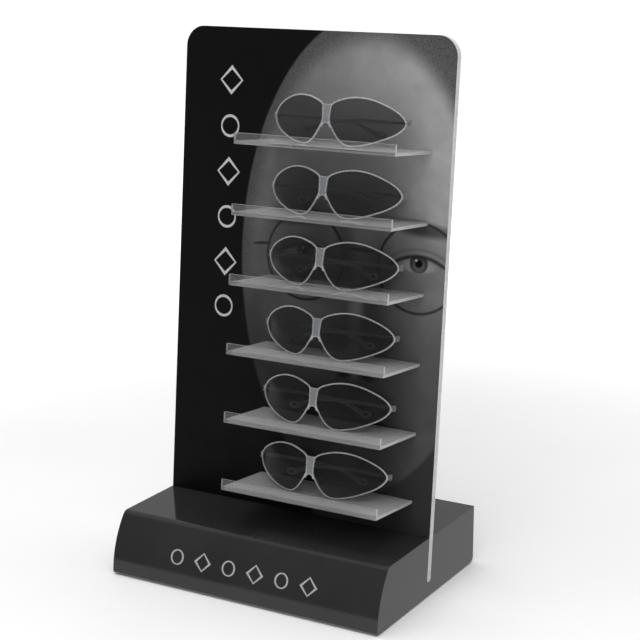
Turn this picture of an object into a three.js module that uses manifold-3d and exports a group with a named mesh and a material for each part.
// Eyeglass display rack: a weighted base, a leaning graphic panel, six clear shelves
// and a pair of sunglasses on each shelf.
// Millimetres, +Z up, +X to the right, +Y to the back. Origin: bottom centre of the base.

import * as THREE from 'three';
import { mergeVertices } from 'three/addons/utils/BufferGeometryUtils.js';
import Module from 'manifold-3d';

const wasm = await Module();
wasm.setup();

// ---- Driving dimensions ----

const GAP = 0.3; // between pieces that touch

// Base
const BASE_WIDTH = 300;
const BASE_DEPTH = 209.6;
const BASE_TOP = 61;
const BASE_BOTTOM = 1.6;
const FRONT_RADIUS = 94; // the swept front face, centred at floor level
const TOP_EDGE_RADIUS = 8;
const REAR_TOP_RADIUS = 1.5;
const REAR_BOTTOM_RADIUS = 5;
const FRONT_BOTTOM_RADIUS = 2;
const HOUSING_WALL = 7;
const POCKET_WALL = 4;

// Base fittings
const PLATE_THICKNESS = 3;
const BALLAST_SIZE = [240, 50, 10];
const BALLAST_Y = [-54, 56];
const FOOT_POSITION = [128, 84];
const FOOT_RADIUS = 9;
const FOOT_STEM_RADIUS = 3;
const SCREW_POSITION = [134, 62];
const SCREW_RADIUS = 1.9;
const SCREW_HEAD_RADIUS = 3.6;
const SCREW_LENGTH = 14;
const POST_RADIUS = 5;

// Panel: two bonded sheets that lean back in the slot
const LEAN = 0.092;
const PANEL_Y = 2.27; // front face at the level of the base's top
const PANEL_WIDTH = 300;
const PANEL_ABOVE_BASE = 476.9; // along the panel
const SLOT_DEPTH = 45.4;
const SHEET_THICKNESS = 3.7;
const PANEL_THICKNESS = 2 * SHEET_THICKNESS + GAP;
const PANEL_CORNER_RADIUS = 20;

// Shelves, square to the panel
const SHELF_COUNT = 6;
const SHELF_WIDTH = 171.25;
const SHELF_X = 43.75;
const SHELF_REACH = 75.5;
const SHELF_THICKNESS = 3;
const SHELF_PITCH = 67.4;
const TOP_SHELF_HEIGHT = 367.4; // underside, along the panel from the base's top
const LIP_HEIGHT = 10.8; // with the plate under it
const LIP_THICKNESS = 3;
const TAB_WIDTH = 30;
const TAB_SPACING = 110;

// Sunglasses
const EYEWEAR_X = 42;
const EYEWEAR_REACH = 49.9; // front of the bridge, from the panel
const EYEWEAR_TILT = 0.066;
const EYEWEAR_LIFT = 0.9; // puts the rims just clear of the shelf
const WRAP_RADIUS = 104; // around the face
const CROWN_RADIUS = 147; // up and down
const CROWN_HEIGHT = 24;
const RIM_WIDTH = 1.5;
const RIM_DEPTH = 2;
const LENS_THICKNESS = 1.4;
const BRIDGE_TOP = 38.6;
const BRIDGE_BOTTOM = 20.6;
const HINGE_X = 72;
const HINGE_HEIGHT = 25.4;
const HINGE_DEPTH = 29.6;
const KNUCKLE_RADIUS = 1.6;
const KNUCKLE_HEIGHT = 2.2;
const EAR_HEIGHT = 1.3;
const TEMPLE_LENGTH = 115;
const TEMPLE_HEIGHT = 3.2;
const TEMPLE_THICKNESS = 2;
const TEMPLE_DROP = 12;
const TEMPLE_TIP_LENGTH = 11;
const TEMPLE_TIP_HEIGHT = 7.5;
const TEMPLE_HOLE_RADIUS = 1.4;
const LEFT_TEMPLE_ANGLE = 0.1; // lies behind the right temple
const RIGHT_TEMPLE_ANGLE = 0;

// ---- Materials ----

function material(color, roughness, metalness = 0, opacity = 1) {
  return new THREE.MeshStandardMaterial({ color, roughness, metalness, opacity, transparent: opacity < 1 });
}

const BLACK_GLOSS = [0x1d1d1e, 0.15];
const BLACK_SATIN = [0x191919, 0.5];
const GRAPHIC = [0x2c2c2c, 0.35];
const BACKING = [0x222224, 0.45];
const STEEL = [0x8a8c8f, 0.4, 1];
const RUBBER = [0x101010, 0.9];
const ACRYLIC = [0xc4c6c8, 0.15, 0, 0.5];
const RIM_METAL = [0xa4a7aa, 0.3, 1];
const LENS = [0x2a2b2d, 0.08, 0, 0.7];
const TEMPLE = [0x3a3b3d, 0.35, 0.6];

// ---- Solids ----

function toSolid(geometry) {
  const bare = geometry.index ? geometry.clone() : geometry;
  bare.deleteAttribute('normal');
  bare.deleteAttribute('uv');
  const welded = mergeVertices(bare, 1e-4);
  return new wasm.Manifold(new wasm.Mesh({
    numProp: 3,
    vertProperties: new Float32Array(welded.attributes.position.array),
    triVerts: new Uint32Array(welded.index.array),
  }));
}

function toGeometry(solid) {
  const mesh = solid.getMesh();
  const geometry = new THREE.BufferGeometry();
  geometry.setAttribute('position', new THREE.BufferAttribute(new Float32Array(mesh.vertProperties), 3));
  geometry.setIndex(new THREE.BufferAttribute(new Uint32Array(mesh.triVerts), 1));
  geometry.computeVertexNormals();
  return geometry;
}

function join(...geometries) {
  return toGeometry(geometries.map(toSolid).reduce((sum, solid) => sum.add(solid)));
}

function cut(body, ...tools) {
  return toGeometry(tools.map(toSolid).reduce((rest, solid) => rest.subtract(solid), toSolid(body)));
}

function overlap(a, b) {
  return toGeometry(toSolid(a).intersect(toSolid(b)));
}

function box(width, depth, height, x, y, z) {
  return new THREE.BoxGeometry(width, depth, height).translate(x, y, z);
}

// An upright cylinder from a height upwards.
function post(radius, bottom, height, x, y, sides = 16) {
  return new THREE.CylinderGeometry(radius, radius, height, sides)
    .rotateX(Math.PI / 2)
    .translate(x, y, bottom + height / 2);
}

// A solid of revolution about +Z from [radius, height] pairs that start and end on the axis.
function turned(profile, x, y, sides = 16) {
  return new THREE.LatheGeometry(profile.map(([r, z]) => new THREE.Vector2(r, z)), sides)
    .rotateX(Math.PI / 2)
    .translate(x, y, 0);
}

// A (y, z) outline drawn out along X, centred on x = 0.
function prismAlongX(shape, width, curveSegments = 8) {
  return new THREE.ExtrudeGeometry(shape, { depth: width, bevelEnabled: false, curveSegments })
    .translate(0, 0, -width / 2)
    .applyMatrix4(new THREE.Matrix4().makeBasis(
      new THREE.Vector3(0, 1, 0),
      new THREE.Vector3(0, 0, 1),
      new THREE.Vector3(1, 0, 0),
    ));
}

// An (x, z) outline drawn out along +Y from y = 0.
function slabAlongY(shape, thickness, curveSegments = 6) {
  return new THREE.ExtrudeGeometry(shape, { depth: thickness, bevelEnabled: false, curveSegments })
    .rotateX(Math.PI / 2)
    .translate(0, thickness, 0);
}

// ---- Base ----

// The base's (y, z) section, shrunk by a wall all round the top, front and back.
function baseSection(wall, bottom) {
  const half = BASE_DEPTH / 2;
  const back = half - wall;
  const top = BASE_TOP - wall;
  const frontRadius = FRONT_RADIUS - wall;
  const frontCentre = FRONT_RADIUS - half;
  const edgeRadius = Math.max(TOP_EDGE_RADIUS - wall, 1);
  const edgeZ = top - edgeRadius;
  const edgeY = frontCentre - Math.sqrt((frontRadius - edgeRadius) ** 2 - edgeZ ** 2);
  const edgeStart = Math.PI - Math.asin(edgeZ / (frontRadius - edgeRadius));
  const rearTop = wall ? 1 : REAR_TOP_RADIUS;
  const rearBottom = wall ? 1 : REAR_BOTTOM_RADIUS;
  const frontBottom = wall ? 1 : FRONT_BOTTOM_RADIUS;
  const toeAngle = Math.PI - Math.asin((bottom + frontBottom) / frontRadius);
  const toeY = frontCentre + frontRadius * Math.cos(toeAngle) + frontBottom;

  const shape = new THREE.Shape();
  shape.moveTo(toeY, bottom);
  shape.lineTo(back - rearBottom, bottom);
  shape.absarc(back - rearBottom, bottom + rearBottom, rearBottom, -Math.PI / 2, 0, false);
  shape.absarc(back - rearTop, top - rearTop, rearTop, 0, Math.PI / 2, false);
  shape.absarc(edgeY, edgeZ, edgeRadius, Math.PI / 2, edgeStart, false);
  shape.absarc(frontCentre, 0, frontRadius, edgeStart, toeAngle, false);
  shape.absarc(toeY, bottom + frontBottom, frontBottom, Math.PI, 1.5 * Math.PI, false);
  return shape;
}

// A slot outline in the panel's own plane: round at the bottom, open at the top.
function slotSection(margin, top) {
  const half = PANEL_THICKNESS / 2 + margin;
  const shape = new THREE.Shape();
  const middle = PANEL_THICKNESS / 2;
  const floor = -SLOT_DEPTH + PANEL_THICKNESS / 2;
  shape.moveTo(middle + half, top);
  shape.lineTo(middle - half, top);
  shape.absarc(middle, floor, half, Math.PI, 2 * Math.PI, false);
  return shape;
}

// From the panel's own axes (front face y = 0, base top z = 0) to the rack's.
const PANEL_PLACE = new THREE.Matrix4()
  .makeTranslation(0, PANEL_Y, BASE_TOP)
  .multiply(new THREE.Matrix4().makeRotationX(-LEAN));

function baseHousing() {
  const slotTop = 30;
  const shell = prismAlongX(baseSection(0, BASE_BOTTOM), BASE_WIDTH);
  const pocket = prismAlongX(slotSection(POCKET_WALL + GAP, slotTop), BASE_WIDTH).applyMatrix4(PANEL_PLACE);
  const cavity = cut(
    prismAlongX(baseSection(HOUSING_WALL, BASE_BOTTOM - 5), BASE_WIDTH - 2 * HOUSING_WALL),
    pocket,
    ...screwPlaces().map(([x, y]) => post(POST_RADIUS, postFoot(), BASE_TOP, x, y)),
  );
  const pilotDepth = SCREW_LENGTH + 2;
  return cut(
    shell,
    cavity,
    prismAlongX(slotSection(GAP, slotTop), BASE_WIDTH + 10).applyMatrix4(PANEL_PLACE),
    ...screwPlaces().map(([x, y]) => post(SCREW_RADIUS + GAP, postFoot() - 1, pilotDepth, x, y, 12)),
  );
}

function postFoot() {
  return BASE_BOTTOM + PLATE_THICKNESS + GAP;
}

// The four places, one in each corner.
function corners([x, y]) {
  return [[-x, -y], [x, -y], [-x, y], [x, y]];
}

function screwPlaces() {
  return corners(SCREW_POSITION);
}

function bottomPlate() {
  const margin = HOUSING_WALL + GAP;
  const halfWidth = BASE_WIDTH / 2 - margin;
  const front = -BASE_DEPTH / 2 + margin + 0.2;
  const back = BASE_DEPTH / 2 - margin;
  const middle = (front + back) / 2;
  const plate = box(2 * halfWidth, back - front, PLATE_THICKNESS, 0, middle, BASE_BOTTOM + PLATE_THICKNESS / 2);
  const footHoles = corners(FOOT_POSITION).map(([x, y]) => post(FOOT_STEM_RADIUS + GAP, 0, 10, x, y));
  const screwHoles = screwPlaces().map(([x, y]) => turned([
    [0, BASE_BOTTOM - 1],
    [SCREW_HEAD_RADIUS + GAP + 1, BASE_BOTTOM - 1],
    [SCREW_RADIUS + GAP, BASE_BOTTOM + 2.1],
    [SCREW_RADIUS + GAP, 10],
    [0, 10],
  ], x, y, 12));
  return cut(plate, ...footHoles, ...screwHoles);
}

// A countersunk screw, head down, flush with the plate.
function plateScrew([x, y]) {
  const bottom = BASE_BOTTOM + 0.1;
  return turned([
    [0, bottom],
    [SCREW_HEAD_RADIUS, bottom],
    [SCREW_RADIUS, bottom + 1.9],
    [SCREW_RADIUS, bottom + SCREW_LENGTH - 1.5],
    [0.6, bottom + SCREW_LENGTH],
    [0, bottom + SCREW_LENGTH],
  ], x, y, 12);
}

// A rubber foot: a disc under the plate, a stem through it and a bead that holds it.
function rubberFoot([x, y]) {
  const discTop = BASE_BOTTOM - GAP;
  const plateTop = BASE_BOTTOM + PLATE_THICKNESS + GAP;
  return turned([
    [0, 0],
    [FOOT_RADIUS - 0.6, 0],
    [FOOT_RADIUS, 0.6],
    [FOOT_RADIUS, discTop],
    [FOOT_STEM_RADIUS, discTop],
    [FOOT_STEM_RADIUS, plateTop],
    [FOOT_STEM_RADIUS + 1.2, plateTop + 0.6],
    [FOOT_STEM_RADIUS - 1, plateTop + 4],
    [0, plateTop + 4],
  ], x, y);
}

function ballastBar(y) {
  const [width, depth, height] = BALLAST_SIZE;
  const bottom = BASE_BOTTOM + PLATE_THICKNESS + GAP;
  return box(width, depth, height, 0, y, bottom + height / 2);
}

// ---- Panel, in its own axes ----

function tabPlaces() {
  return [SHELF_X - TAB_SPACING / 2, SHELF_X + TAB_SPACING / 2];
}

function shelfUnderside(index) {
  return TOP_SHELF_HEIGHT - index * SHELF_PITCH;
}

function panelOutline() {
  const half = PANEL_WIDTH / 2;
  const r = PANEL_CORNER_RADIUS;
  const shape = new THREE.Shape();
  shape.moveTo(-half, -SLOT_DEPTH);
  shape.lineTo(half, -SLOT_DEPTH);
  shape.absarc(half - r, PANEL_ABOVE_BASE - r, r, 0, Math.PI / 2, false);
  shape.absarc(-half + r, PANEL_ABOVE_BASE - r, r, Math.PI / 2, Math.PI, false);
  return shape;
}

function tabSlots() {
  const slots = [];
  for (let i = 0; i < SHELF_COUNT; i += 1) {
    const z = shelfUnderside(i) + SHELF_THICKNESS / 2;
    for (const x of tabPlaces()) {
      slots.push(box(TAB_WIDTH + 2 * GAP, 4 * PANEL_THICKNESS, SHELF_THICKNESS + 2 * GAP, x, 0, z));
    }
  }
  return slots;
}

// One sheet of the panel; the pair's bottom edge is rounded to fit the slot.
function sheet(front) {
  const slab = slabAlongY(panelOutline(), SHEET_THICKNESS).translate(0, front, 0);
  const rounded = overlap(slab, prismAlongX(slotSection(0, PANEL_ABOVE_BASE + 10), PANEL_WIDTH + 10));
  return cut(rounded, ...tabSlots());
}

// ---- Shelves, in the panel's axes ----

function shelfPlate(index) {
  const z = shelfUnderside(index) + SHELF_THICKNESS / 2;
  const depth = SHELF_REACH - GAP;
  const plate = box(SHELF_WIDTH, depth, SHELF_THICKNESS, SHELF_X, -GAP - depth / 2, z);
  const tabDepth = PANEL_THICKNESS + 5;
  const tabs = tabPlaces().map((x) => box(
    TAB_WIDTH, tabDepth, SHELF_THICKNESS, x, PANEL_THICKNESS - tabDepth / 2, z,
  ));
  return join(plate, ...tabs);
}

// The strip that stands on the plate's front edge, with its top edge rounded.
function shelfLip(index) {
  const bottom = shelfUnderside(index) + SHELF_THICKNESS + GAP;
  const top = shelfUnderside(index) + LIP_HEIGHT;
  const r = 1;
  const front = -SHELF_REACH;
  const back = front + LIP_THICKNESS;
  const shape = new THREE.Shape();
  shape.moveTo(front, bottom);
  shape.lineTo(back, bottom);
  shape.absarc(back - r, top - r, r, 0, Math.PI / 2, false);
  shape.absarc(front + r, top - r, r, Math.PI / 2, Math.PI, false);
  return prismAlongX(shape, SHELF_WIDTH, 3).translate(SHELF_X, 0, 0);
}

// ---- Sunglasses, in their own axes ----
// x across the face, y backwards from the bridge's front, z up from the lenses' lowest point.

// Middle line of the right rim, from the bridge's top down the nose side and round the outside.
const RIM_POINTS = [
  [4.9, 37.9], [3.9, 31], [3.7, 22.5], [6.6, 16.2], [14, 5.6], [21.5, 0.9], [34, 1.6], [50, 6.9],
  [65, 15.4], [70.6, 24.4], [66.5, 32.2], [55.5, 39.5], [41, 44.7], [27, 45.6], [15, 43.1],
];
const RIM_SAMPLES = 26;

function rimLoop(offset) {
  const curve = new THREE.CatmullRomCurve3(RIM_POINTS.map(([x, z]) => new THREE.Vector3(x, z, 0)), true);
  const loop = curve.getSpacedPoints(RIM_SAMPLES).slice(0, RIM_SAMPLES);
  return loop.map((point, i) => {
    const before = loop.at(i - 1);
    const after = loop[(i + 1) % RIM_SAMPLES];
    const along = after.clone().sub(before).normalize();
    return new THREE.Vector2(point.x + along.y * offset, point.y - along.x * offset);
  });
}

function mirrored(points) {
  return points.map((point) => new THREE.Vector2(-point.x, point.y)).reverse();
}

// Bends a flat piece, drawn in (x, z) with its front at y = 0, round the face.
function wrap(geometry) {
  const position = geometry.attributes.position;
  for (let i = 0; i < position.count; i += 1) {
    const x = position.getX(i);
    const back = position.getY(i);
    const z = position.getZ(i);
    const radius = WRAP_RADIUS - back;
    const across = x / WRAP_RADIUS;
    const crown = ((z - CROWN_HEIGHT) ** 2 - CROWN_HEIGHT ** 2) / (2 * CROWN_RADIUS);
    position.setX(i, radius * across);
    position.setY(i, WRAP_RADIUS - radius * Math.sqrt(1 - across ** 2) + crown);
  }
  geometry.computeVertexNormals();
  return geometry;
}

function rim(side) {
  const outer = rimLoop(RIM_WIDTH / 2);
  const inner = rimLoop(-RIM_WIDTH / 2);
  const shape = new THREE.Shape(side > 0 ? outer : mirrored(outer));
  shape.holes.push(new THREE.Path(side > 0 ? inner : mirrored(inner)));
  return slabAlongY(shape, RIM_DEPTH);
}

// The plate between the rims, hollowed at its foot for the nose.
function bridgePlate() {
  const shape = new THREE.Shape();
  const shoulder = 5.2;
  const waist = 3.9;
  const middle = (BRIDGE_TOP + BRIDGE_BOTTOM) / 2;
  const archFoot = BRIDGE_BOTTOM - 4;
  const archRadius = 3.8;
  const footHalf = 5.9;
  shape.moveTo(-shoulder, BRIDGE_TOP);
  shape.lineTo(-waist, middle);
  shape.lineTo(-waist - 0.4, BRIDGE_BOTTOM - 1);
  shape.lineTo(-footHalf, archFoot);
  shape.absarc(0, archFoot, archRadius, Math.PI, 0, true);
  shape.lineTo(footHalf, archFoot);
  shape.lineTo(waist + 0.4, BRIDGE_BOTTOM - 1);
  shape.lineTo(waist, middle);
  shape.lineTo(shoulder, BRIDGE_TOP);
  return slabAlongY(shape, RIM_DEPTH);
}

// A hinge ear: a flat link from the rim's end back to the hinge axis.
function hingeEar(side, bottom) {
  const facing = side > 0 ? 0 : Math.PI;
  const shape = new THREE.Shape();
  shape.moveTo(side * (HINGE_X - 2), HINGE_DEPTH - 3.2);
  shape.lineTo(side * (HINGE_X + 0.6), HINGE_DEPTH - 3.2);
  shape.absarc(side * HINGE_X, HINGE_DEPTH, KNUCKLE_RADIUS, facing, Math.PI - facing, side < 0);
  return new THREE.ExtrudeGeometry(shape, { depth: EAR_HEIGHT, bevelEnabled: false, curveSegments: 4 })
    .translate(0, 0, bottom);
}

// The end of the front: a small block outside the rim that carries the hinge's two ears.
function hingeLug(side) {
  const reach = KNUCKLE_HEIGHT / 2 + GAP;
  const height = 2 * (reach + EAR_HEIGHT);
  return join(
    box(2, 1.4, height, side * (HINGE_X - 0.8), HINGE_DEPTH - 2.7, HINGE_HEIGHT),
    hingeEar(side, HINGE_HEIGHT + reach),
    hingeEar(side, HINGE_HEIGHT - reach - EAR_HEIGHT),
  );
}

function eyewearFront() {
  const front = wrap(join(rim(1), rim(-1), bridgePlate()));
  return join(front, hingeLug(1), hingeLug(-1));
}

// A lens fills its rim: rings of its outline shrink towards the middle, front and back.
function lens(side) {
  const edge = rimLoop(-RIM_WIDTH / 2 - GAP);
  const outline = side > 0 ? edge : mirrored(edge);
  const centre = outline.reduce((sum, point) => sum.add(point), new THREE.Vector2())
    .divideScalar(outline.length);
  const count = outline.length;
  const front = (RIM_DEPTH - LENS_THICKNESS) / 2;
  const vertices = [];
  const faces = [];
  for (const y of [front, front + LENS_THICKNESS]) {
    for (const scale of [1, 0.5]) {
      for (const point of outline) {
        const place = centre.clone().lerp(point, scale);
        vertices.push(place.x, y, place.y);
      }
    }
    vertices.push(centre.x, y, centre.y);
  }
  const backStart = 2 * count + 1;
  for (let i = 0; i < count; i += 1) {
    const next = (i + 1) % count;
    for (const [start, flip] of [[0, false], [backStart, true]]) {
      const cap = [
        [start + i, start + next, start + count + i],
        [start + next, start + count + next, start + count + i],
        [start + count + i, start + count + next, start + 2 * count],
      ];
      cap.forEach(([a, b, c]) => faces.push(...(flip ? [a, c, b] : [a, b, c])));
    }
    faces.push(i, backStart + i, next, next, backStart + i, backStart + next);
  }
  const geometry = new THREE.BufferGeometry();
  geometry.setAttribute('position', new THREE.BufferAttribute(new Float32Array(vertices), 3));
  geometry.setIndex(faces);
  return wrap(geometry);
}

// A temple along +X from its hinge at the origin: a knuckle, a slim arm, and a tip that drops, with an eyelet.
function temple() {
  const half = TEMPLE_HEIGHT / 2;
  const tipX = TEMPLE_LENGTH - TEMPLE_TIP_LENGTH / 2;
  const tipZ = -TEMPLE_DROP;
  const tipHalf = TEMPLE_TIP_HEIGHT / 2;
  const bendX = 0.72 * TEMPLE_LENGTH;
  const neckX = 0.82 * TEMPLE_LENGTH;
  const neckZ = -0.5 * TEMPLE_DROP;
  const opening = 2.2; // half of the tip's ellipse that is outline, in radians

  const shape = new THREE.Shape();
  shape.moveTo(0, -half);
  shape.quadraticCurveTo(0.5 * TEMPLE_LENGTH, 1 - half, bendX, -3 - half);
  shape.quadraticCurveTo(neckX, neckZ - half, tipX - 5, tipZ - tipHalf + 1.2);
  shape.absellipse(tipX, tipZ, TEMPLE_TIP_LENGTH / 2, tipHalf, -opening, opening, false);
  shape.quadraticCurveTo(neckX, neckZ + half, bendX + 2, half - 2.4);
  shape.quadraticCurveTo(0.5 * TEMPLE_LENGTH, half + 1.4, 0, half);
  const eyelet = new THREE.Path();
  eyelet.absellipse(tipX, tipZ, 2 * TEMPLE_HOLE_RADIUS, TEMPLE_HOLE_RADIUS, 0, 2 * Math.PI, true);
  shape.holes.push(eyelet);

  const arm = slabAlongY(shape, TEMPLE_THICKNESS, 4).translate(0, -TEMPLE_THICKNESS / 2, 0);
  const rootLength = 2 * (KNUCKLE_RADIUS + EAR_HEIGHT + 2 * GAP);
  const thinRoot = overlap(arm, box(rootLength, rootLength, KNUCKLE_HEIGHT, 0, 0, 0));
  return join(
    cut(arm, box(rootLength, rootLength, rootLength, 0, 0, 0)),
    thinRoot,
    post(KNUCKLE_RADIUS, -KNUCKLE_HEIGHT / 2, KNUCKLE_HEIGHT, 0, 0, 10),
  );
}

// ---- Assembly ----

const rack = new THREE.Group();

function add(group, name, geometry, finish) {
  const mesh = new THREE.Mesh(geometry, material(...finish));
  mesh.name = name;
  group.add(mesh);
  return mesh;
}

const CORNER_NAMES = ['front_left', 'front_right', 'rear_left', 'rear_right'];

function buildBase() {
  add(rack, 'base_housing', baseHousing(), BLACK_GLOSS);
  add(rack, 'bottom_plate', bottomPlate(), BLACK_SATIN);
  add(rack, 'front_ballast_bar', ballastBar(BALLAST_Y[0]), STEEL);
  add(rack, 'rear_ballast_bar', ballastBar(BALLAST_Y[1]), STEEL);
  corners(FOOT_POSITION).forEach((place, i) => {
    add(rack, `rubber_foot_${CORNER_NAMES[i]}`, rubberFoot(place), RUBBER);
  });
  screwPlaces().forEach((place, i) => {
    add(rack, `plate_screw_${CORNER_NAMES[i]}`, plateScrew(place), STEEL);
  });
}

function buildTemple(group, name, side, angle) {
  const mesh = add(group, name, temple(), TEMPLE);
  mesh.position.set(side * HINGE_X, HINGE_DEPTH, HINGE_HEIGHT);
  mesh.rotation.z = side > 0 ? Math.PI - angle : angle;
}

function buildEyewear(panel, index) {
  const pair = new THREE.Group();
  const shelfTop = shelfUnderside(index) + SHELF_THICKNESS;
  pair.position.set(EYEWEAR_X, -EYEWEAR_REACH, shelfTop + EYEWEAR_LIFT);
  pair.rotation.x = -EYEWEAR_TILT;
  panel.add(pair);
  const prefix = `eyewear_${index + 1}`;
  add(pair, `${prefix}_front`, eyewearFront(), RIM_METAL);
  add(pair, `${prefix}_left_lens`, lens(-1), LENS);
  add(pair, `${prefix}_right_lens`, lens(1), LENS);
  buildTemple(pair, `${prefix}_left_temple`, -1, LEFT_TEMPLE_ANGLE);
  buildTemple(pair, `${prefix}_right_temple`, 1, RIGHT_TEMPLE_ANGLE);
}

function buildPanel() {
  const panel = new THREE.Group();
  panel.position.set(0, PANEL_Y, BASE_TOP);
  panel.rotation.x = -LEAN;
  rack.add(panel);
  add(panel, 'graphic_sheet', sheet(0), GRAPHIC);
  add(panel, 'backing_sheet', sheet(SHEET_THICKNESS + GAP), BACKING);
  for (let i = 0; i < SHELF_COUNT; i += 1) {
    add(panel, `shelf_${i + 1}_plate`, shelfPlate(i), ACRYLIC);
    add(panel, `shelf_${i + 1}_lip`, shelfLip(i), ACRYLIC);
    buildEyewear(panel, i);
  }
}

buildBase();
buildPanel();

export default rack;
